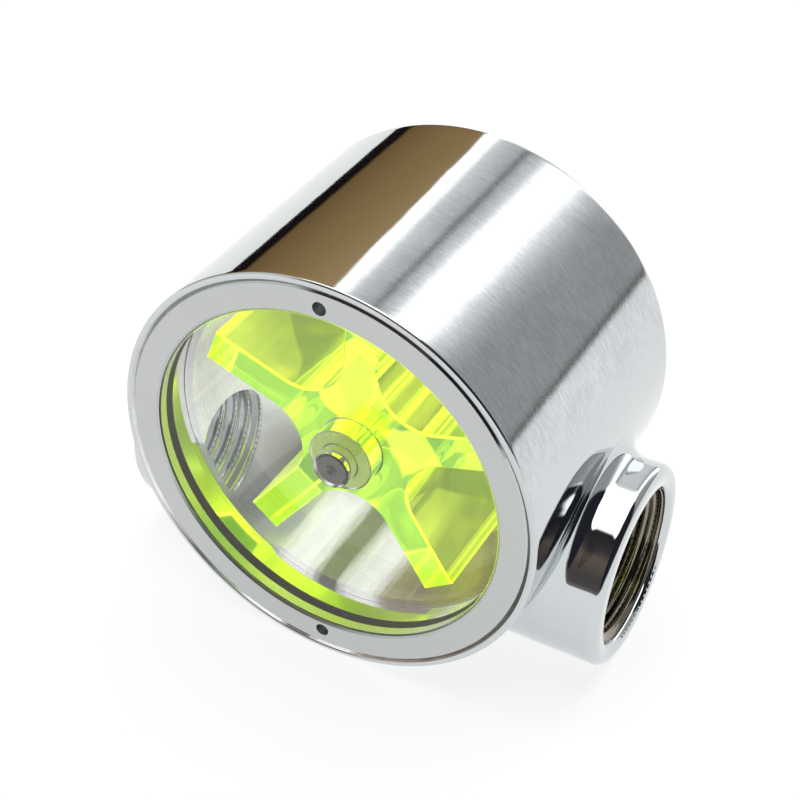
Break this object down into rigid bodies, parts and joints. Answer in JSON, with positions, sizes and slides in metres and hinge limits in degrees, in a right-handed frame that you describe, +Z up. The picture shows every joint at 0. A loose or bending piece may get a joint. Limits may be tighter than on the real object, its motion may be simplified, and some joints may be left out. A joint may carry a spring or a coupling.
{
  "type": "water flow indicator",
  "caption": "Round chromed pipe fitting with threaded side bosses and a screwed-in sight window over a bladed wheel that spins in the flow.",
  "frame": {"origin": "centre of the part's footprint, on the level of the housing's underside", "axes": "+X along the pipe, from one boss to the other; -Y out through the sight window along the rotor's axis; +Z up"},
  "size_m": [0.044, 0.0264, 0.0364],
  "materials": {
    "chromed_brass": "polished chrome plate over cast and turned brass, faint turning grain, satin inside",
    "satin_nickel": "flat satin face, bright broken edges",
    "clear_acrylic": "clear polished acrylic",
    "seal_rubber": "dark brown rubber",
    "lime_acrylic": "fluorescent lime clear acrylic with bright edges",
    "stainless_pin": "ground stainless pin",
    "bush_nylon": "translucent natural nylon"
  },
  "bodies": {
    "body": {"housing": "chromed_brass", "retaining_ring": "satin_nickel", "sight_window": "clear_acrylic", "window_o_ring": "seal_rubber", "front_bush": "bush_nylon", "rear_bush": "bush_nylon"},
    "wheel": {"rotor": "lime_acrylic", "shaft": "stainless_pin"}
  },
  "joints": [
    {"name": "rotor_spin", "type": "hinge", "parent": "body", "child": "wheel", "pos_m": [0, 0, 0.0182], "axis": [0, 1, 0], "continuous": true}
  ]
}
